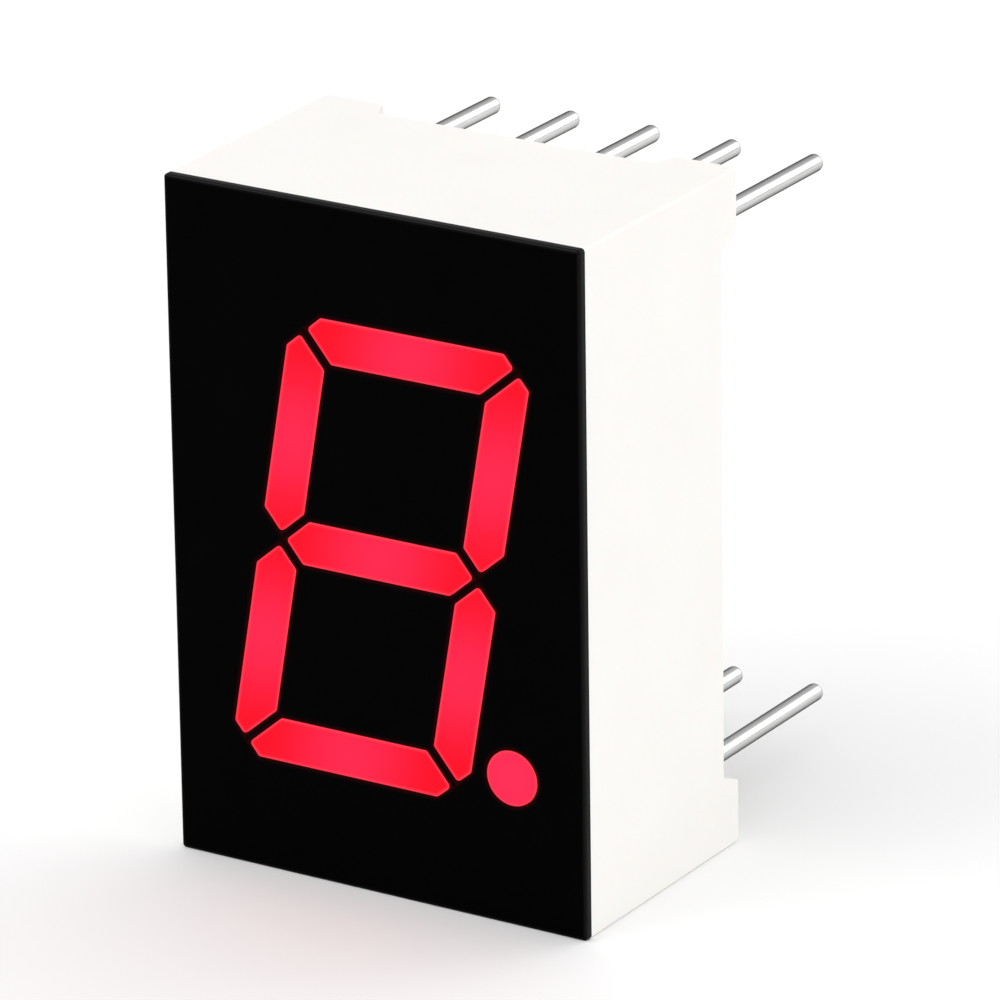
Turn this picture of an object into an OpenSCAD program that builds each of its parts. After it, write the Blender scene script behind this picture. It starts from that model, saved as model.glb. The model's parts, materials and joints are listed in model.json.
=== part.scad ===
// Seven segment display: one lit digit with a decimal point, on two rows of round leads.
// The face looks towards -Y, the leads point towards +Y and the display stands on its lower end.

/* [Leads] */
// Distance between neighbouring leads of a row
lead_pitch = 2.54; // [2.4:0.01:2.8]
// Distance between the two rows of leads
row_span = 15.24; // [14:0.01:18]
// Diameter of a lead where it is tinned
lead_d = 0.5; // [0.4:0.01:0.6]
// Thickness of the tin, which covers a lead from the feet to its tip
tin_t = 0.015; // [0.005:0.005:0.03]
// Length of a lead past the feet
lead_length = 6.4; // [3:0.1:12]
// Radius of the rounding at a lead's tip
lead_tip_r = 0.12; // [0.05:0.01:0.15]

/* [Housing] */
// Distance from the end leads of a row to the sides of the housing
side_margin = 1.27; // [1.2:0.01:3]
// Distance from a row of leads to the nearer end of the housing
end_margin = 1.88; // [1.3:0.01:4]
// Depth of the housing from its face to the ends of its feet
housing_depth = 7.8; // [7.5:0.1:12]
// Thickness of the wall round the rear pocket
wall = 0.65; // [0.5:0.01:0.7]
// Radius of the housing's four long edges
edge_r = 0.1; // [0.05:0.01:0.4]
// Radius of the rear pocket's corners
pocket_r = 0.3; // [0.1:0.01:0.4]
// Height of the feet above the rim
foot_height = 0.75; // [0.5:0.05:1.2]
// Length of a foot's arms at its end
foot_arm = 1.8; // [1:0.05:2.5]
// Extra length of a foot's arms at its root, from the slope of its inner ends
foot_slope = 0.3; // [0.1:0.05:0.6]

/* [Digit] */
// Thickness of the black mask on the face
mask_t = 0.25; // [0.2:0.01:0.4]
// Radius of the rounding round the mask's front edge
mask_edge_r = 0.08; // [0.05:0.01:0.15]
// Height of the digit over its outer edges
digit_h = 12.7; // [11:0.1:14]
// Width of the digit over its outer edges, before it leans
digit_w = 7.4; // [6.5:0.05:8]
// Width of a segment's stroke
stroke = 1.25; // [1:0.05:1.5]
// Lean of the digit from the upright, in degrees
lean = 10; // [0:0.5:12]
// Gap between neighbouring segments, square to their mitred ends
segment_gap = 0.25; // [0.2:0.01:0.5]
// Length of the cut across the digit's outer corners, along each edge
corner_cut = 0.9; // [0.6:0.05:1.1]
// Radius of a segment's corners
corner_r = 0.12; // [0.05:0.01:0.15]
// Shift of the digit to the right of the face's middle
digit_shift = 0.13; // [-0.3:0.01:0.3]
// Diameter of the decimal point
point_d = 1.55; // [1.3:0.05:1.7]
// Clear distance from the digit's right edge to the decimal point
point_gap = 0.46; // [0.3:0.01:0.7]
// Height of the decimal point's middle above the digit's lower edge
point_rise = 1; // [0.8:0.05:1.5]

/* [Light wells] */
// Length of a segment's well at the board
well_length = 1.8; // [1.5:0.05:2.4]
// Width of a segment's well at the board
well_width = 1; // [0.8:0.05:1.1]
// Diameter of the decimal point's well at the board
point_well_d = 1.2; // [1.1:0.05:1.3]
// Gap that shrinkage leaves round cast resin
cast_gap = 0.01; // [0.005:0.005:0.02]

/* [Circuit board] */
// Thickness of the bare board
board_t = 0.8; // [0.6:0.05:1]
// Clearance between the board and the pocket's wall
board_gap = 0.07; // [0.05:0.01:0.15]
// Thickness of the copper on both sides of the board
copper_t = 0.05; // [0.03:0.01:0.07]
// Width of a copper track
track_w = 0.3; // [0.2:0.05:0.5]
// Radius of the copper ring round a lead
ring_r = 0.5; // [0.4:0.01:0.55]
// Radial clearance of a lead in its board hole
hole_gap = 0.03; // [0.01:0.01:0.08]
// Diameter of the via under a bond pad
via_d = 0.2; // [0.15:0.01:0.25]
// Gap between the copper plane and what it must not touch
plane_gap = 0.12; // [0.08:0.01:0.2]
// Radius of a solder joint on its ring
solder_r = 0.42; // [0.35:0.01:0.5]
// Height of a solder joint
solder_h = 0.55; // [0.3:0.05:0.8]
// Thickness of the rear resin on the board
resin_t = 1.2; // [0.9:0.05:1.6]
// Depth of the rear resin's surface below the rim
resin_drop = 0.4; // [0.25:0.05:0.6]
// Radius of the curve by which the rear resin climbs the walls and the leads
resin_curve_r = 0.25; // [0.1:0.05:0.3]

/* [LED chips] */
// Side of a chip
chip_w = 0.28; // [0.2:0.01:0.32]
// Height of a chip
chip_h = 0.25; // [0.15:0.01:0.3]
// Side of a bond pad
bond_pad = 0.3; // [0.25:0.01:0.32]
// Distance from a chip to its bond pad, middle to middle
bond_span = 0.55; // [0.5:0.01:0.6]
// Diameter of a bond wire
wire_d = 0.04; // [0.025:0.005:0.05]

/* [Hidden] */
$fn = 48;
// Steps of the arc that rounds one corner
corner_steps = 4;
// How far a cutting shape runs past what it cuts
over = 0.2;
// Angle at which the curve of the rear resin ends, short of upright
resin_end_angle = 65;
// Turns along a round edge, and along the curve of the rear resin
edge_turns = [for (i = [0 : corner_steps]) 90 * i / corner_steps];
resin_turns = [for (i = [0 : corner_steps]) resin_end_angle * i / corner_steps];

// Number of leads in a row
row_leads = 5;

SEGMENTS = ["a", "b", "c", "d", "e", "f", "g"];
LIGHTS = concat(SEGMENTS, ["dp"]);
LEADS = [1 : 2 * row_leads];

// Size of the face, set by the grid of leads
face_w = (row_leads - 1) * lead_pitch + 2 * side_margin;
face_h = row_span + 2 * end_margin;
pocket_w = face_w - 2 * wall;
pocket_h = face_h - 2 * wall;

// Planes of the stack, as depths behind the face
rim_d = housing_depth - foot_height;
resin_rear_d = rim_d - resin_drop;
resin_climb = resin_curve_r * (1 - cos(resin_end_angle));
board_rear_d = resin_rear_d - resin_t;
track_rear_d = board_rear_d + copper_t;
board_front_d = board_rear_d - board_t;
seat_d = board_front_d - copper_t;
well_depth = seat_d - mask_t;
tip_d = housing_depth + lead_length;

// Place of the face in the part's frame, which is centred on the whole depth
face_y = -tip_d / 2;
mid_z = face_h / 2;

// Radius of a lead where it isn't tinned, and of its board hole
bare_r = lead_d / 2 - tin_t;
hole_r = bare_r + hole_gap;

// Middle lines of the digit's strokes
half_w = (digit_w - stroke) / 2;
half_h = (digit_h - stroke) / 2;

// Middle of the decimal point on the face
point_z = point_rise - digit_h / 2;
point_x = digit_shift + digit_w / 2 + point_z * tan(lean) + point_gap + point_d / 2;

// Lead numbers run along the lower row from the left, then back along the upper row
function lead_column(n) = n <= row_leads ? n : 2 * row_leads + 1 - n;
function lead_x(n) = (lead_column(n) - (row_leads + 1) / 2) * lead_pitch;
function lead_z(n) = (n <= row_leads ? -1 : 1) * row_span / 2;

// Lead that carries each light's own line
function lead_of(s) =
    s == "a" ? 7 : s == "b" ? 6 : s == "c" ? 4 : s == "d" ? 2 :
    s == "e" ? 1 : s == "f" ? 9 : s == "g" ? 10 : 5;

// A point of the upright digit, leaned and shifted to its place on the face
function leaned(p) = [digit_shift + p[0] + p[1] * tan(lean), p[1]];
function reversed(list) = [for (i = [len(list) - 1 : -1 : 0]) list[i]];
// An outline mirrored sideways or upwards, still anticlockwise
function flipped(p, sx, sz) =
    let (q = [for (c = p) [c[0] * sx, c[1] * sz]]) sx * sz < 0 ? reversed(q) : q;
function unit(v) = v / norm(v);
function extent(p, axis) = max([for (c = p) c[axis]]) - min([for (c = p) c[axis]]);

// Upright corners of the segments: k is half the stroke, m the setback of the ends, c the cut of the
// digit's outer corners. The cut meets a mitre this far out along the segment, and across it
function cut_along(k, m, c) = k - (c + m) / 2;
function cut_across(k, m, c) = k - (c - m) / 2;
// Segment a, mitred at both ends
function top_bar(k, m, c) = [
    [-half_w + k + m, half_h - k],
    [half_w - k - m, half_h - k],
    [half_w + cut_along(k, m, c), half_h + cut_across(k, m, c)],
    [half_w + k - c, half_h + k],
    [-half_w - k + c, half_h + k],
    [-half_w - cut_along(k, m, c), half_h + cut_across(k, m, c)]
];
// Segment g, pointed at both ends
function middle_bar(k, m) = [
    [-half_w + m, 0],
    [-half_w + m + k, -k],
    [half_w - m - k, -k],
    [half_w - m, 0],
    [half_w - m - k, k],
    [-half_w + m + k, k]
];
// Segment f, pointed at the digit's middle and mitred at its top
function left_bar(k, m, c) = [
    [-half_w, m],
    [-half_w + k, m + k],
    [-half_w + k, half_h - k - m],
    [-half_w - cut_across(k, m, c), half_h + cut_along(k, m, c)],
    [-half_w - k, half_h + k - c],
    [-half_w - k, m + k]
];
function is_flat(s) = s == "a" || s == "d" || s == "g" || s == "dp";
function segment_corners(s, inset) =
    let (
        k = stroke / 2 - inset,
        m = (segment_gap / 2 + inset) * sqrt(2),
        c = corner_cut - inset * (2 - sqrt(2))
    )
    s == "a" ? top_bar(k, m, c) :
    s == "d" ? flipped(top_bar(k, m, c), 1, -1) :
    s == "g" ? middle_bar(k, m) :
    flipped(left_bar(k, m, c), s == "b" || s == "c" ? -1 : 1, s == "c" || s == "e" ? -1 : 1);
// Middle of a segment in the upright digit
function segment_middle(s) =
    s == "a" ? [0, half_h] :
    s == "d" ? [0, -half_h] :
    s == "g" ? [0, 0] :
    [s == "b" || s == "c" ? half_w : -half_w, (s == "c" || s == "e" ? -1 : 1) * half_h / 2];

// One corner b of an anticlockwise outline, rounded between its neighbours a and c
function round_corner(a, b, c, r) =
    let (
        u = unit(a - b),
        w = unit(c - b),
        half = acos(u * w) / 2,
        centre = b + unit(u + w) * r / sin(half),
        start = b + u * r / tan(half) - centre,
        from = atan2(start[1], start[0]),
        sweep = 180 - 2 * half
    )
    [for (i = [0 : corner_steps]) let (t = from + sweep * i / corner_steps) centre + r * [cos(t), sin(t)]];
function rounded(p, r) =
    let (n = len(p))
    [for (i = [0 : n - 1]) each round_corner(p[(i + n - 1) % n], p[i], p[(i + 1) % n], r)];

// Outline of a segment's well at a depth: straight through the mask, then narrowing to the board
function well_outline(s, depth, inset) =
    let (
        face = segment_corners(s, 0),
        well = is_flat(s) ? [well_length, well_width] : [well_width, well_length],
        t = max(0, depth - mask_t) / well_depth,
        grow = [for (i = [0, 1]) 1 + (well[i] / extent(face, i) - 1) * t],
        middle = segment_middle(s)
    )
    [for (p = rounded(segment_corners(s, inset), corner_r - inset))
        let (d = p - middle) leaned(middle + [d[0] * grow[0], d[1] * grow[1]])];

// Outline of a rounded plate, drawn in from its edges
function plate_outline(w, h, r, inset) =
    let (x = w / 2 - inset, z = h / 2 - inset)
    rounded([[-x, -z], [x, -z], [x, z], [-x, z]], r);
function face_outline(inset) = plate_outline(face_w, face_h, edge_r, inset);
function pocket_outline(inset) = plate_outline(pocket_w, pocket_h, pocket_r, inset);

// Middle of a light's well on the face, and of its bond pad and chip beside it
function well_at(s) = s == "dp" ? [point_x, point_z] : leaned(segment_middle(s));
function beside(s, step) = well_at(s) + (is_flat(s) ? [step, 0] : [0, step]);
function bond_at(s) = beside(s, bond_span / 2);
function chip_at(s) = beside(s, -bond_span / 2);

// Extrudes a face outline between two depths behind the face
module slab(front, rear) {
    translate([0, face_y + rear, mid_z])
        rotate([90, 0, 0])
            linear_extrude(rear - front)
                children();
}

// Sets a shape down at a place on the face and a depth, with its +Z pointing to the rear
module stand(place, depth) {
    translate([place[0], face_y + depth, mid_z + place[1]])
        rotate([-90, 0, 0])
            children();
}

// Solid skin over anticlockwise rings, given from the front to the rear with their depths
module skin(rings, depths) {
    n = len(rings[0]);
    last = len(rings) - 1;
    points = [for (k = [0 : last]) each [for (p = rings[k]) [p[0], face_y + depths[k], mid_z + p[1]]]];
    front = [[for (i = [n - 1 : -1 : 0]) i]];
    rear = [[for (i = [0 : n - 1]) last * n + i]];
    sides = [for (k = [0 : last - 1]) each
        [for (i = [0 : n - 1]) let (j = (i + 1) % n) each
            [[k * n + i, k * n + j, (k + 1) * n + j], [k * n + i, (k + 1) * n + j, (k + 1) * n + i]]]];
    polyhedron(points, concat(front, sides, rear));
}

module rounded_plate(w, h, r) {
    square([w - 2 * r, h], center = true);
    square([w, h - 2 * r], center = true);
    for (x = [-1, 1], z = [-1, 1])
        translate([x * (w / 2 - r), z * (h / 2 - r)])
            circle(r);
}

module face_plate() {
    rounded_plate(face_w, face_h, edge_r);
}

module pocket_plate(inset) {
    rounded_plate(pocket_w - 2 * inset, pocket_h - 2 * inset, pocket_r);
}

module at_leads(leads) {
    for (n = leads)
        translate([lead_x(n), lead_z(n)])
            children();
}

// Light well of a segment, cut through the reflector
module segment_well(s) {
    depths = [mask_t - over, mask_t, seat_d, seat_d + over];
    skin([for (d = depths) well_outline(s, d, 0)], depths);
}

// Light well of the decimal point between two depths, a plain cone
function point_r(depth) = (point_d + (point_well_d - point_d) * (depth - mask_t) / well_depth) / 2;
module point_well(front, rear, inset) {
    stand([point_x, point_z], front)
        cylinder(rear - front, point_r(front) - inset, point_r(rear) - inset);
}

// One corner foot: the wall's corner carried on to the rear, with sloped ends to its arms
module foot() {
    sunk_arm = foot_arm + foot_slope * (1 + over / foot_height);
    slope = [[0, -over], [sunk_arm, -over], [foot_arm, foot_height], [0, foot_height]];
    translate([-face_w / 2, face_y + rim_d, mid_z - face_h / 2]) {
        linear_extrude(wall)
            polygon(slope);
        rotate([0, -90, 0])
            mirror([0, 0, 1])
                linear_extrude(wall)
                    polygon(slope);
    }
}

module reflector_housing() {
    color("snow") difference() {
        union() {
            slab(mask_t, rim_d)
                face_plate();
            intersection() {
                for (x = [0, 1], z = [0, 1])
                    mirror([x, 0, 0])
                        translate([0, 0, z * face_h])
                            mirror([0, 0, z])
                                foot();
                slab(rim_d - over, housing_depth)
                    face_plate();
            }
        }
        slab(seat_d, rim_d + over)
            pocket_plate(0);
        for (s = SEGMENTS)
            segment_well(s);
        point_well(mask_t - over, seat_d + over, 0);
    }
}

// The mask before its openings, with a rounded front edge
module mask_blank() {
    rings = [for (t = edge_turns) face_outline(mask_edge_r * (1 - sin(t)))];
    depths = [for (t = edge_turns) mask_edge_r * (1 - cos(t))];
    skin(concat(rings, [face_outline(0)]), concat(depths, [mask_t]));
}

module face_mask() {
    color("black") difference() {
        mask_blank();
        slab(-over, mask_t + over) {
            for (s = SEGMENTS)
                polygon(well_outline(s, 0, 0));
            translate([point_x, point_z])
                circle(point_d / 2);
        }
    }
}

// Room that a chip and its bond wire take in the resin
module chip_room(s) {
    chip(s, cast_gap, over);
    bond_wire_loop(s, cast_gap, over);
}

module segment(s) {
    depths = [0, mask_t, seat_d];
    color("red") difference() {
        skin([for (d = depths) well_outline(s, d, cast_gap)], depths);
        chip_room(s);
    }
}

module decimal_point() {
    color("red") difference() {
        union() {
            stand([point_x, point_z], 0)
                cylinder(mask_t, r = point_d / 2 - cast_gap);
            point_well(mask_t, seat_d, cast_gap);
        }
        chip_room("dp");
    }
}

// An LED chip that faces the front, sunk this far into the copper plane that it stands on
module chip(s, grow, sunk) {
    side = chip_w + 2 * grow;
    place = chip_at(s);
    translate([place[0] - side / 2, face_y + seat_d - chip_h - grow, mid_z + place[1] - side / 2])
        cube([side, chip_h + grow + sunk, side]);
}

module led_chip(s) {
    color("goldenrod")
        chip(s, 0, 0);
}

// A bond wire: a half ring over the chip, and a straight leg down to the bond pad, sunk this far into it
module bond_wire_loop(s, grow, sunk) {
    wire_r = wire_d / 2 + grow;
    middle = well_at(s);
    bond = bond_at(s);
    translate([middle[0], face_y + seat_d - chip_h, mid_z + middle[1]])
        rotate([0, is_flat(s) ? 0 : -90, 0])
            rotate_extrude(angle = -180)
                translate([bond_span / 2, 0])
                    circle(wire_r, $fn = 16);
    stand(bond, seat_d - chip_h)
        cylinder(chip_h + sunk, r = wire_r, $fn = 16);
}

module bond_wire(s) {
    color("gold")
        bond_wire_loop(s, 0, 0);
}

module circuit_board() {
    color("seagreen")
        slab(board_front_d, board_rear_d)
            difference() {
                pocket_plate(board_gap);
                at_leads(LEADS)
                    circle(hole_r);
                for (s = LIGHTS)
                    translate(bond_at(s))
                        circle(via_d / 2);
            }
}

// Copper on the front of the board, the common line under every chip
module common_plane() {
    color("peru")
        slab(seat_d, board_front_d)
            difference() {
                pocket_plate(board_gap + plane_gap);
                at_leads(LEADS)
                    circle(hole_r);
                for (s = LIGHTS) {
                    translate([lead_x(lead_of(s)), lead_z(lead_of(s))])
                        circle(hole_r + plane_gap);
                    translate(bond_at(s))
                        square(bond_pad + 2 * plane_gap, center = true);
                }
            }
}

// A light's track on the rear of the board: across to its lead's column, then along to the lead
module track_outline(s) {
    from = bond_at(s);
    to = [lead_x(lead_of(s)), lead_z(lead_of(s))];
    bend = [to[0], from[1]];
    translate([min(from[0], bend[0]), from[1] - track_w / 2])
        square([abs(bend[0] - from[0]), track_w]);
    translate([bend[0] - track_w / 2, min(bend[1], to[1])])
        square([track_w, abs(to[1] - bend[1])]);
    for (p = [from, bend])
        translate(p)
            circle(track_w / 2);
}

// All the tracks and the discs at the leads, before the leads' holes
module rear_copper_outline() {
    for (s = LIGHTS)
        track_outline(s);
    at_leads(LEADS)
        circle(ring_r);
}

module signal_tracks() {
    color("peru") {
        slab(board_rear_d, track_rear_d)
            difference() {
                rear_copper_outline();
                at_leads(LEADS)
                    circle(hole_r);
            }
        slab(seat_d, board_front_d)
            for (s = LIGHTS)
                translate(bond_at(s))
                    square(bond_pad, center = true);
        slab(board_front_d, board_rear_d)
            for (s = LIGHTS)
                translate(bond_at(s))
                    circle(via_d / 2);
    }
}

// Hollow flank of a solder joint, from its foot on the ring to its top on the lead
function solder_flank(inner, grow) =
    let (rise = solder_r - inner)
    [for (t = edge_turns) [solder_r + grow - rise * sin(t), (solder_h + grow) * (1 - cos(t))]];

module solder_joint(n) {
    inner = bare_r + cast_gap;
    color("silver")
        stand([lead_x(n), lead_z(n)], track_rear_d)
            rotate_extrude()
                polygon(concat([[inner, 0]], solder_flank(inner, 0)));
}

// Room that a solder joint and its lead take in the resin
module solder_room(n) {
    flank = solder_flank(bare_r + cast_gap, cast_gap);
    stand([lead_x(n), lead_z(n)], track_rear_d)
        rotate_extrude()
            polygon(concat([[0, 0]], flank, [[0, solder_h + cast_gap]]));
}

// A lead: bare wire in the board and resin, tinned from the feet to its rounded tip
module pin(n) {
    tin_r = lead_d / 2;
    bare_length = housing_depth - board_front_d;
    length = tip_d - board_front_d;
    tip = [for (t = edge_turns)
        [tin_r - lead_tip_r + lead_tip_r * cos(t), length - lead_tip_r + lead_tip_r * sin(t)]];
    bare = [[0, length], [0, 0], [bare_r, 0], [bare_r, bare_length]];
    profile = concat([[tin_r, bare_length]], tip, bare);
    color("lightgray")
        stand([lead_x(n), lead_z(n)], board_front_d)
            rotate_extrude()
                polygon(profile);
}

// Hollow that the set resin leaves below its climb up the walls
module resin_dish() {
    rings = [for (t = resin_turns) pocket_outline(cast_gap + resin_curve_r * (1 - sin(t)))];
    depths = [for (t = resin_turns) resin_rear_d + resin_curve_r * (1 - cos(t))];
    skin(concat(rings, [rings[corner_steps]]), concat(depths, [rim_d]));
}

// Resin that climbs a lead, as a solid cone
module resin_collar(n) {
    foot_r = bare_r + cast_gap;
    flank = [for (t = resin_turns) [foot_r + resin_curve_r * (1 - sin(t)), resin_curve_r * (1 - cos(t))]];
    stand([lead_x(n), lead_z(n)], resin_rear_d)
        rotate_extrude()
            polygon(concat([[0, -over], [foot_r + resin_curve_r, -over]], flank, [[0, resin_climb]]));
}

module rear_resin() {
    color("mistyrose") difference() {
        union() {
            difference() {
                slab(board_rear_d, resin_rear_d + resin_climb)
                    pocket_plate(cast_gap);
                resin_dish();
            }
            for (n = LEADS)
                resin_collar(n);
        }
        slab(board_rear_d - over, rim_d)
            at_leads(LEADS)
                circle(bare_r + cast_gap);
        slab(board_rear_d - over, track_rear_d)
            rear_copper_outline();
        for (n = LEADS)
            solder_room(n);
    }
}

reflector_housing();
face_mask();
for (s = SEGMENTS) segment(s);
decimal_point();
for (s = LIGHTS) led_chip(s);
for (s = LIGHTS) bond_wire(s);
circuit_board();
common_plane();
signal_tracks();
for (n = LEADS) solder_joint(n);
for (n = LEADS) pin(n);
rear_resin();
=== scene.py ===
import bmesh
import bpy
import json
import math
from mathutils import Matrix, Vector


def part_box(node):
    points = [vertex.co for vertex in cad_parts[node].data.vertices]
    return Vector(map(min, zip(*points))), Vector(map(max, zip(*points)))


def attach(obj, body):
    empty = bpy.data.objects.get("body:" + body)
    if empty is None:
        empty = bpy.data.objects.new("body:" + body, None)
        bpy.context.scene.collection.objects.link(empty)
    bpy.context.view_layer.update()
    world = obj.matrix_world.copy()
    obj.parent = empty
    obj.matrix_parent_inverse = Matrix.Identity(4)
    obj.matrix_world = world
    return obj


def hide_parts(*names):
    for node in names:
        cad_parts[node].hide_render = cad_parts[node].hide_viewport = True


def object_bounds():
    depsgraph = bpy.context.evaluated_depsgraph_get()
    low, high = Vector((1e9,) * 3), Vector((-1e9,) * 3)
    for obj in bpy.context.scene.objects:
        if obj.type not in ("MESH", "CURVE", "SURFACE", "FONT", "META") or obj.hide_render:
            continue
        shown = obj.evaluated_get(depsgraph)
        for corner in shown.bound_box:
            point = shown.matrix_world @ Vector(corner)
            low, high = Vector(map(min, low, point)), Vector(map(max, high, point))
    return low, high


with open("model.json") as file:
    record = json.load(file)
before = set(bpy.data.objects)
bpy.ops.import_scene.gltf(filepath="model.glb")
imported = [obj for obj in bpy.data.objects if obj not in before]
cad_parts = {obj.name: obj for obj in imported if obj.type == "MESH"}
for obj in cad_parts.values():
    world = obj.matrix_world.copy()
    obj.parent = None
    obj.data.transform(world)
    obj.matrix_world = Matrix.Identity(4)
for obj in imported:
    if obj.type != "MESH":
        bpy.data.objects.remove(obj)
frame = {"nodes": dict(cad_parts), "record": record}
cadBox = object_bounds()  # the solids' own box, before anything is added
nodes = frame["nodes"]
mm = 0.001
print("frame loaded with", len(nodes), "nodes")


# places that the finishes need, read from the frame
def boxMiddle(nodeName):
    low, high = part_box(nodeName)
    return (low + high) / 2


def boxSize(nodeName):
    low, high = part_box(nodeName)
    return high - low


lightNames = list("abcdefg") + ["dp"]
lightAt = {name: boxMiddle("bond_wire_" + name) for name in lightNames}  # middle of each light well
digitMiddle = lightAt["g"]
halfHeight = lightAt["a"].z - digitMiddle.z
leanSlope = (lightAt["a"].x - lightAt["d"].x) / (2 * halfHeight)
halfWidth = lightAt["b"].x - digitMiddle.x - leanSlope * halfHeight / 2
halfStroke = boxSize("segment_a").z / 2
pointRadius = boxSize("decimal_point").x / 2
faceMiddle = boxMiddle("face_mask")
faceSize = boxSize("face_mask")

softDetail = 2.0  # octaves of noise in a cloudy pattern
fineDetail = 3.0  # and in a grain


class Wire:  # a node socket that takes part in sums
    def __init__(self, tree, socket):
        self.tree = tree
        self.socket = socket

    # any node: its settings first, then the values or links of its sockets
    def node(self, kind, settings=None, inputs=None, output=0):
        made = self.tree.nodes.new("ShaderNode" + kind)
        for name, value in (settings or {}).items():
            setattr(made, name, value)
        for name, value in (inputs or {}).items():
            if isinstance(value, Wire):
                self.tree.links.new(value.socket, made.inputs[name])
            else:
                made.inputs[name].default_value = value
        return Wire(self.tree, made.outputs[output])

    def sum(self, operation, *others):
        return self.node("Math", {"operation": operation}, dict(enumerate((self,) + others)))

    def __add__(self, other):
        return self.sum("ADD", other)

    def __sub__(self, other):
        return self.sum("SUBTRACT", other)

    def __rsub__(self, other):
        return self.node("Math", {"operation": "SUBTRACT"}, {0: other, 1: self})

    def __mul__(self, other):
        return self.sum("MULTIPLY", other)

    __radd__ = __add__
    __rmul__ = __mul__

    def part(self, axis):  # X, Y or Z of a place
        return self.node("SeparateXYZ", None, {0: self}, axis)

    def along(self, direction):  # how far a place lies in a direction
        return self.node("VectorMath", {"operation": "DOT_PRODUCT"}, {0: self, 1: direction}, "Value")

    def size(self):
        return self.sum("ABSOLUTE")

    def least(self, other):
        return self.sum("MINIMUM", other)

    def most(self, other):
        return self.sum("MAXIMUM", other)

    def across(self, other):  # length of a line with these two sides
        return (self * self + other * other).sum("SQRT")

    def rise(self, low, high):  # smooth step from 0 at low to 1 at high
        inputs = {"Value": self, "From Min": low, "From Max": high}
        return self.node("MapRange", {"interpolation_type": "SMOOTHSTEP"}, inputs)

    def about(self, middle, spread):  # a noise, or any value from 0 to 1, spread evenly about a middle
        return middle + (self - 0.5) * spread

    def noise(self, grain, detail=fineDetail):  # noise with a grain of that many metres
        return self.node("TexNoise", None, {"Vector": self, "Scale": 1 / grain, "Detail": detail})

    def stretched(self, axis, times):  # a place whose pattern is drawn out along one axis
        scale = [1 / times if name == axis else 1.0 for name in "XYZ"]
        return self.node("Mapping", None, {"Vector": self, "Scale": scale})

    def blend(self, first, second):  # colour between two, by this value, on the Mix node's colour sockets
        return self.node("Mix", {"data_type": "RGBA"}, {0: self, 6: first, 7: second}, 2)

    def relief(self, depth, strength):  # a bumpy normal from this height
        return self.node("Bump", None, {"Height": self, "Distance": depth, "Strength": strength})


def rgb(red, green, blue):
    return (red, green, blue, 1.0)


def grey(level):
    return rgb(level, level, level)


def newFinish(name, fixed):  # a material, with the values that are the same all over it
    finish = bpy.data.materials.new(name)
    finish.use_nodes = True
    shader = finish.node_tree.nodes["Principled BSDF"]
    for socketName, value in fixed.items():
        shader.inputs[socketName].default_value = value
    return finish


def objectPlace(finish):  # the Object coordinates that a pattern is laid on
    coordinates = finish.node_tree.nodes.new("ShaderNodeTexCoord")
    return Wire(finish.node_tree, coordinates.outputs["Object"])


def feed(finish, wires):  # what changes over the surface
    shader = finish.node_tree.nodes["Principled BSDF"]
    for socketName, wire in wires.items():
        finish.node_tree.links.new(wire.socket, shader.inputs[socketName])


# the digit's edges, for the light along them
digitEdges = {"gap": 0.25 * mm, "cornerCut": 0.9 * mm}
diagonal = math.sqrt(0.5)  # distance square to a 45 degree edge, for each unit along an axis


def uprightDigit(place):  # distances from the digit's middle, with its lean taken out
    up = place.part("Z") - digitMiddle.z
    side = place.part("X") - digitMiddle.x - up * leanSlope
    return side.size(), up.size()


def segmentEdge(place):  # distance in from the nearest edge of a segment, below nought outside it
    side, up = uprightDigit(place)
    outSide, outUp = side - halfWidth, up - halfHeight
    pastSide, pastEnd = outSide.most(0.0), outUp.most(0.0)
    fromStrokes = outSide.across(pastEnd).least(pastSide.across(outUp)).least(pastSide.across(up))
    cornerMitre = (outSide - outUp).size()
    middleMitre = (up - outSide.size()).most(0.0 - outSide - up)
    mitres = cornerMitre.least(middleMitre) * diagonal - digitEdges["gap"] / 2
    cut = (2 * halfStroke - digitEdges["cornerCut"] - outSide - outUp) * diagonal
    return (halfStroke - fromStrokes).least(mitres).least(cut)


def lightDistance(place):  # distance from the nearest light well's middle
    side, up = uprightDigit(place)
    flats = side.across((up - halfHeight).size().least(up))
    uprights = (side - halfWidth).across(up - halfHeight / 2)
    return flats.least(uprights)


def pointDistance(place):  # distance from the decimal point's middle
    middle = lightAt["dp"]
    return (place.part("X") - middle.x).across(place.part("Z") - middle.z)


def pointEdge(place):  # distance in from the decimal point's edge, below nought outside it
    return pointRadius - pointDistance(place)


def rimDistance(place):  # distance in from the face's border
    besides = faceSize.x / 2 - (place.part("X") - faceMiddle.x).size()
    ends = faceSize.z / 2 - (place.part("Z") - faceMiddle.z).size()
    return besides.least(ends)


# white moulded plastic of the housing
whiteMoulding = {
    "fixed": {"IOR": 1.49, "Subsurface Weight": 0.12, "Subsurface Scale": 0.4 * mm},
    "colour": rgb(0.892, 0.876, 0.850),
    "thinColour": rgb(0.876, 0.858, 0.830),
    "flow": 3.0 * mm,
    "flowFrom": 0.3,
    "flowTo": 0.8,
    "grain": 0.07 * mm,
    "grainDepth": 0.004 * mm,
    "grainStrength": 0.35,
    "roughness": 0.40,
    "roughnessSpread": 0.12,
}


def makeWhiteMoulding():
    s = whiteMoulding
    finish = newFinish("white moulding", s["fixed"])
    place = objectPlace(finish)
    flow = place.noise(s["flow"], softDetail).rise(s["flowFrom"], s["flowTo"])
    grain = place.noise(s["grain"])
    feed(finish, {
        "Base Color": flow.blend(s["colour"], s["thinColour"]),
        "Roughness": grain.about(s["roughness"], s["roughnessSpread"]),
        "Normal": grain.relief(s["grainDepth"], s["grainStrength"]),
    })
    return finish


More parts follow.
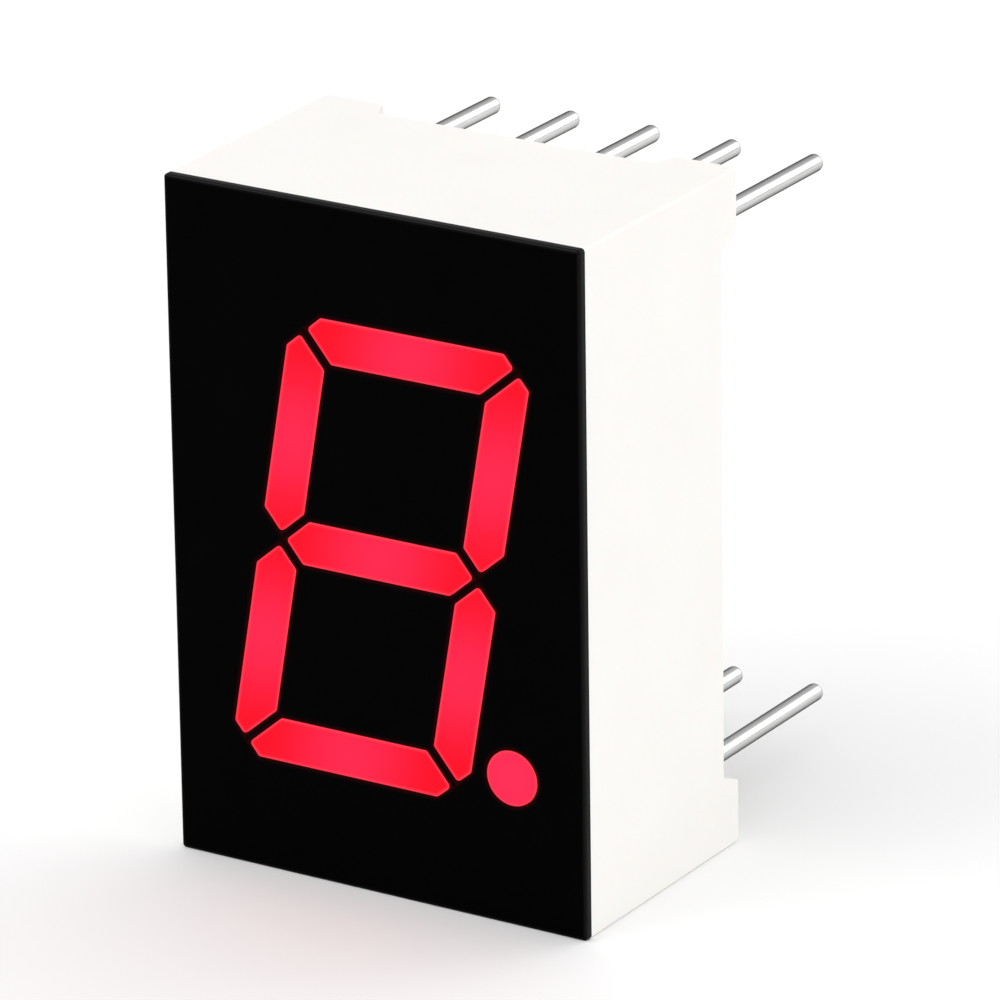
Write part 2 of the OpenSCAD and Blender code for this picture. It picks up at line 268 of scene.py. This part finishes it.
# black mask ink, glossier where it rolls over the border, with a faint red glow of light painted on it
# beside the lit segments
blackMask = {
    "fixed": {"Specular IOR Level": 0.008, "Coat Roughness": 0.22, "Emission Strength": 1.0},
    "colour": grey(0.0005),
    "paleColour": rgb(0.0011, 0.0010, 0.0011),
    "cloud": 1.5 * mm,
    "grain": 0.05 * mm,
    "grainDepth": 0.003 * mm,
    "grainStrength": 0.3,
    "roughness": 0.42,
    "roughnessSpread": 0.15,
    "rimWidth": 0.13 * mm,
    "rimGloss": 0.22,
    "paintedGlowReach": 0.20 * mm,
    "paintedGlowColour": rgb(0.022, 0.0, 0.001),
}


def makeBlackMask():
    s = blackMask
    finish = newFinish("black mask", s["fixed"])
    place = objectPlace(finish)
    cloud = place.noise(s["cloud"], softDetail)
    grain = place.noise(s["grain"])
    rim = 1.0 - rimDistance(place).rise(0.0, s["rimWidth"])
    # painted light: the mask emits a faint red next to the segments and the point, as if their light
    # spilled onto it
    paintedGlow = segmentEdge(place).most(pointEdge(place)).rise(-s["paintedGlowReach"], 0.0)
    feed(finish, {
        "Base Color": cloud.blend(s["colour"], s["paleColour"]),
        "Roughness": grain.about(s["roughness"], s["roughnessSpread"]),
        "Coat Weight": rim * s["rimGloss"],
        "Emission Color": (paintedGlow * paintedGlow).blend(grey(0.0), s["paintedGlowColour"]),
        "Normal": grain.relief(s["grainDepth"], s["grainStrength"]),
    })
    return finish


# lit resin of the segments and the point, pinker over each chip, redder at the ends, paler at the rim
litResin = {
    "fixed": {"Roughness": 0.35, "Specular IOR Level": 0.04, "Emission Strength": 1.0},
    "body": rgb(0.42, 0.004, 0.012),
    "deepBody": rgb(0.36, 0.003, 0.008),
    "endLight": rgb(0.66, 0.001, 0.011),
    "chipLight": rgb(0.74, 0.018, 0.070),
    "pointLight": rgb(0.74, 0.025, 0.089),
    "rimLight": rgb(0.70, 0.043, 0.073),
    "reach": 2.8 * mm,
    "rimReach": 0.11 * mm,
    "grain": 0.09 * mm,
    "grainShare": 0.12,
    "grainDepth": 0.002 * mm,
    "grainStrength": 0.3,
}


def makeLitResin(name, nearLight, distance, edge):
    s = litResin
    finish = newFinish(name, s["fixed"])
    place = objectPlace(finish)
    grain = place.noise(s["grain"])
    near = 1.0 - distance(place).rise(0.0, s["reach"])
    light = grain.about(near, s["grainShare"]).blend(s["endLight"], nearLight)
    feed(finish, {
        "Base Color": grain.blend(s["body"], s["deepBody"]),
        "Emission Color": edge(place).rise(0.0, s["rimReach"]).blend(s["rimLight"], light),
        "Normal": grain.relief(s["grainDepth"], s["grainStrength"]),
    })
    return finish


# bright tin on the leads, drawn along their length and darker towards their outlines
tinnedWire = {
    "fixed": {"Metallic": 1.0, "Specular Tint": grey(0.0)},
    "colour": rgb(0.75, 0.75, 0.74),
    "dullColour": rgb(0.66, 0.66, 0.655),
    "dullFrom": 0.35,
    "dullTo": 0.70,
    "streak": 0.035 * mm,
    "streakLength": 30.0,
    "streakShare": 0.6,
    "streakDepth": 0.003 * mm,
    "streakStrength": 0.35,
    "cloud": 0.5 * mm,
    "cloudLength": 3.0,
    "roughness": 0.20,
    "roughnessSpread": 0.32,
}


def makeTinnedWire():
    s = tinnedWire
    finish = newFinish("tinned wire", s["fixed"])
    place = objectPlace(finish)
    streaks = place.stretched("Y", s["streakLength"]).noise(s["streak"])
    cloud = place.stretched("Y", s["cloudLength"]).noise(s["cloud"])
    dullness = streaks * s["streakShare"] + cloud * (1 - s["streakShare"])
    feed(finish, {
        "Base Color": dullness.rise(s["dullFrom"], s["dullTo"]).blend(s["colour"], s["dullColour"]),
        "Roughness": ((streaks + cloud) * 0.5).about(s["roughness"], s["roughnessSpread"]),
        "Normal": streaks.relief(s["streakDepth"], s["streakStrength"]),
    })
    return finish


# solder that climbs the leads on the board
solderMetal = {
    "fixed": {"Metallic": 1.0},
    "colour": rgb(0.72, 0.72, 0.73),
    "frostColour": rgb(0.56, 0.56, 0.57),
    "frost": 0.12 * mm,
    "frostDetail": 4.0,
    "frostDepth": 0.006 * mm,
    "frostStrength": 0.3,
    "roughness": 0.35,
    "roughnessSpread": 0.2,
}


def makeSolder():
    s = solderMetal
    finish = newFinish("solder", s["fixed"])
    frost = objectPlace(finish).noise(s["frost"], s["frostDetail"])
    feed(finish, {
        "Base Color": frost.blend(s["colour"], s["frostColour"]),
        "Roughness": frost.about(s["roughness"], s["roughnessSpread"]),
        "Normal": frost.relief(s["frostDepth"], s["frostStrength"]),
    })
    return finish


# etched copper of the tracks and the common plane, brushed along the board
etchedCopper = {
    "fixed": {"Metallic": 1.0},
    "colour": rgb(0.82, 0.46, 0.28),
    "darkColour": rgb(0.66, 0.34, 0.19),
    "brush": 0.1 * mm,
    "brushLength": 5.0,
    "roughness": 0.38,
    "roughnessSpread": 0.2,
}


def makeCopper():
    s = etchedCopper
    finish = newFinish("etched copper", s["fixed"])
    brushed = objectPlace(finish).stretched("Z", s["brushLength"]).noise(s["brush"])
    feed(finish, {
        "Base Color": brushed.blend(s["colour"], s["darkColour"]),
        "Roughness": brushed.about(s["roughness"], s["roughnessSpread"]),
    })
    return finish


# green laminate of the board, with the weave of its glass cloth
boardLaminate = {
    "fixed": {"Coat Weight": 0.25, "Coat Roughness": 0.2},
    "colour": rgb(0.010, 0.130, 0.050),
    "threadColour": rgb(0.022, 0.190, 0.080),
    "weave": 0.45 * mm,
    "weaveDepth": 0.01 * mm,
    "weaveStrength": 0.25,
    "roughness": 0.43,
    "roughnessSpread": 0.1,
}


def makeBoardLaminate():
    s = boardLaminate
    finish = newFinish("board laminate", s["fixed"])
    place = objectPlace(finish)
    turns = 2 * math.pi / s["weave"]
    warp = (place.part("X") * turns).sum("SINE")
    weft = (place.part("Z") * turns).sum("SINE")
    weave = warp * weft * 0.5 + 0.5  # from 0 to 1
    feed(finish, {
        "Base Color": weave.blend(s["colour"], s["threadColour"]),
        "Roughness": weave.about(s["roughness"], s["roughnessSpread"]),
        "Normal": weave.relief(s["weaveDepth"], s["weaveStrength"]),
    })
    return finish


# clear resin that seals the rear, slightly amber and milky
sealingResin = {
    "fixed": {"IOR": 1.5, "Transmission Weight": 0.95},
    "colour": rgb(0.97, 0.945, 0.885),
    "milkColour": rgb(0.94, 0.905, 0.835),
    "cloud": 2.0 * mm,
    "wave": 2.2 * mm,
    "waveDepth": 0.03 * mm,
    "waveStrength": 0.3,
    "roughness": 0.055,
    "roughnessSpread": 0.05,
}


def makeSealingResin():
    s = sealingResin
    finish = newFinish("sealing resin", s["fixed"])
    place = objectPlace(finish)
    cloud = place.noise(s["cloud"])
    feed(finish, {
        "Base Color": cloud.blend(s["colour"], s["milkColour"]),
        "Roughness": cloud.about(s["roughness"], s["roughnessSpread"]),
        "Normal": place.noise(s["wave"], softDetail).relief(s["waveDepth"], s["waveStrength"]),
    })
    return finish


# amber crystal of the chips
chipCrystal = {
    "fixed": {"IOR": 2.0, "Emission Strength": 0.6},
    "colour": rgb(0.62, 0.36, 0.10),
    "darkColour": rgb(0.42, 0.22, 0.05),
    "light": rgb(1.0, 0.03, 0.05),
    "darkLight": rgb(0.8, 0.02, 0.03),
    "cut": 0.04 * mm,
    "roughness": 0.35,
    "roughnessSpread": 0.2,
}


def makeChipCrystal():
    s = chipCrystal
    finish = newFinish("chip crystal", s["fixed"])
    cut = objectPlace(finish).noise(s["cut"])
    feed(finish, {
        "Base Color": cut.blend(s["colour"], s["darkColour"]),
        "Roughness": cut.about(s["roughness"], s["roughnessSpread"]),
        "Emission Color": cut.blend(s["light"], s["darkLight"]),
    })
    return finish


# drawn gold of the bond wires
goldWire = {
    "fixed": {"Metallic": 1.0},
    "colour": rgb(0.95, 0.70, 0.28),
    "darkColour": rgb(0.86, 0.60, 0.20),
    "grain": 0.03 * mm,
    "roughness": 0.24,
    "roughnessSpread": 0.12,
}


def makeGoldWire():
    s = goldWire
    finish = newFinish("gold wire", s["fixed"])
    drawn = objectPlace(finish).noise(s["grain"], softDetail)
    feed(finish, {
        "Base Color": drawn.blend(s["colour"], s["darkColour"]),
        "Roughness": drawn.about(s["roughness"], s["roughnessSpread"]),
    })
    return finish


finishes = {
    "white_housing": makeWhiteMoulding(),
    "black_mask": makeBlackMask(),
    "lit_resin": makeLitResin("lit segment resin", litResin["chipLight"], lightDistance, segmentEdge),
    "led_chip": makeChipCrystal(),
    "gold_wire": makeGoldWire(),
    "board_laminate": makeBoardLaminate(),
    "copper": makeCopper(),
    "solder": makeSolder(),
    "tinned_lead": makeTinnedWire(),
    "sealing_resin": makeSealingResin(),
}
pointFinish = makeLitResin("lit point resin", litResin["pointLight"], pointDistance, pointEdge)
print("finishes made:", len(finishes) + 1)


def setFinish(thing, finish):
    thing.data.materials.clear()
    thing.data.materials.append(finish)


for row in frame["record"]["subparts"]:
    finish = pointFinish if row["node"] == "decimal_point" else finishes[row["material_slot"]]
    setFinish(nodes[row["node"]], finish)
print("finishes set on the solids")

# pieces that stand for a solid and keep its form start from its mesh, merged, with whole flat faces
solidCopy = {"merge": 0.0005 * mm, "flat": 0.5}


def copySolid(nodeName):
    s = solidCopy
    shape = bmesh.new()
    shape.from_mesh(nodes[nodeName].data)
    bmesh.ops.remove_doubles(shape, verts=shape.verts, dist=s["merge"])
    flatAngle = math.radians(s["flat"])
    bmesh.ops.dissolve_limit(shape, angle_limit=flatAngle, verts=shape.verts, edges=shape.edges)
    return shape


def addObject(name, shape):
    mesh = bpy.data.meshes.new(name)
    shape.to_mesh(mesh)
    shape.free()
    thing = bpy.data.objects.new(name, mesh)
    bpy.context.scene.collection.objects.link(thing)
    return thing


def addPiece(name, shape, sharpAngle, slot, replaced):
    piece = addObject(name, shape)
    piece.data.shade_smooth()
    piece.data.set_sharp_from_angle(angle=sharpAngle)
    piece.modifiers.new("even normals", "WEIGHTED_NORMAL").keep_sharp = True
    setFinish(piece, finishes[slot])
    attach(piece, "root")
    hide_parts(replaced)


# the housing again, with the small radii that a mould leaves round the rim and the feet
mouldedHousing = {"radius": 0.07 * mm, "steps": 3, "sharp": 40.0, "rimMargin": 0.01 * mm}


def makeMouldedHousing():
    s = mouldedHousing
    shape = copySolid("reflector_housing")
    sharpAngle = math.radians(s["sharp"])
    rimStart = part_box("rear_resin")[1].y - s["rimMargin"]  # the rim lies just behind the rear resin
    rimEdges = [
        edge
        for edge in shape.edges
        if edge.is_manifold and edge.is_convex
        and min(vert.co.y for vert in edge.verts) > rimStart
        and edge.calc_face_angle() > sharpAngle
    ]
    bmesh.ops.bevel(
        shape, geom=rimEdges, affect="EDGES", offset=s["radius"], segments=s["steps"],
        profile=0.5, material=-1, clamp_overlap=True,
    )
    addPiece("reflector_housing_moulded", shape, sharpAngle, "white_housing", "reflector_housing")
    print("housing moulded with", len(rimEdges), "rounded edges")


makeMouldedHousing()

# the rear resin again, a hair off the board, so that light passes cleanly between the two
castResin = {"lift": 0.015 * mm, "sharp": 35.0}


def makeCastResin():
    s = castResin
    shape = copySolid("rear_resin")
    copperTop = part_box("signal_tracks")[1].y
    onBoard = [vert for vert in shape.verts if vert.co.y < copperTop + s["lift"] / 2]
    bmesh.ops.translate(shape, verts=onBoard, vec=(0, s["lift"], 0))
    addPiece("rear_resin_cast", shape, math.radians(s["sharp"]), "sealing_resin", "rear_resin")
    print("resin cast, with", len(onBoard), "points on the board")


makeCastResin()

# the floor
paleFloor = {
    "halfWidth": 0.8,
    "fixed": {"Base Color": grey(0.945), "Roughness": 0.7, "Specular IOR Level": 0.2},
}


def makeFloor():
    shape = bmesh.new()
    bmesh.ops.create_grid(shape, x_segments=1, y_segments=1, size=paleFloor["halfWidth"])
    floor = addObject("floor", shape)
    setFinish(floor, newFinish("floor paper", paleFloor["fixed"]))


makeFloor()

# soft studio light: a white sky that dims to the horizon, a darker flag in it that the leads mirror
# along their upper edges, and three soft lamps; places are in metres from the object's foot
studio = {
    "horizon": 0.68,
    "overhead": 1.01,
    "skyRise": 0.30,
    "flag": {"towards": Vector((-0.40, 0.80, 0.40)), "inner": 22.0, "outer": 38.0, "shade": 0.70},
    "lamps": {
        "key": {"place": (-0.22, -0.30, 0.34), "width": 0.26, "watts": 0.43, "colour": (1.0, 0.99, 0.98)},
        "side": {"place": (0.36, -0.16, 0.20), "width": 0.30, "watts": 0.11, "colour": (1.0, 0.985, 0.965)},
        "rear": {"place": (0.20, 0.36, 0.18), "width": 0.26, "watts": 0.28, "colour": (1.0, 1.0, 1.0)},
    },
}


def makeSky():
    world = bpy.data.worlds.new("studio")
    world.use_nodes = True
    tree = world.node_tree
    direction = Wire(tree, tree.nodes.new("ShaderNodeTexCoord").outputs["Generated"])
    height = direction.part("Z").rise(0.0, studio["skyRise"])
    sky = height.blend(grey(studio["horizon"]), grey(studio["overhead"]))
    flag = studio["flag"]
    flagEdge, flagCore = [math.cos(math.radians(flag[angle])) for angle in ("outer", "inner")]
    inFlag = direction.along(flag["towards"].normalized()).rise(flagEdge, flagCore)
    sky = inFlag.blend(sky, grey(flag["shade"]))
    tree.links.new(sky.socket, tree.nodes["Background"].inputs["Color"])
    bpy.context.scene.world = world


def makeLamps():
    aim = (cadBox[0] + cadBox[1]) / 2
    for name, s in studio["lamps"].items():
        lamp = bpy.data.lights.new(name, "AREA")
        lamp.size = s["width"]
        lamp.energy = s["watts"]
        lamp.color = s["colour"]
        lampObject = bpy.data.objects.new(name, lamp)
        lampObject.location = s["place"]
        lampObject.rotation_mode = "QUATERNION"
        lampObject.rotation_quaternion = (aim - lampObject.location).to_track_quat("-Z", "Y")
        bpy.context.scene.collection.objects.link(lampObject)


makeSky()
makeLamps()
bpy.context.scene.view_settings.view_transform = "Standard"  # colours as they are, with no film curve

# the camera, at the angle and distance worked out from the photograph
photoView = {
    "azimuth": 32.2,
    "elevation": 20.5,
    "roll": -0.8,
    "distance": 224 * mm,
    "nearest": 2 * mm,
    "focalPixels": 2391,
    "framePixels": 1000,
    "zoom": 3.5,  # one display fills the frame
    "aim": Vector((-0.6, 0.0, 8.7)) * mm,
}


def makeCamera():
    s = photoView
    turn, lift = math.radians(s["azimuth"]), math.radians(s["elevation"])
    back = Vector((math.sin(turn) * math.cos(lift), -math.cos(turn) * math.cos(lift), math.sin(lift)))
    lens = bpy.data.cameras.new("camera")
    lens.lens = s["zoom"] * s["focalPixels"] / s["framePixels"] * lens.sensor_width
    lens.clip_start = s["nearest"]
    camera = bpy.data.objects.new("camera", lens)
    roll = Matrix.Rotation(math.radians(s["roll"]), 4, "Z")
    look = (-back).to_track_quat("-Z", "Y").to_matrix().to_4x4()
    camera.matrix_world = Matrix.Translation(s["aim"] + back * s["distance"]) @ look @ roll
    bpy.context.scene.collection.objects.link(camera)
    bpy.context.scene.camera = camera


makeCamera()
print("floor, lights and camera set")
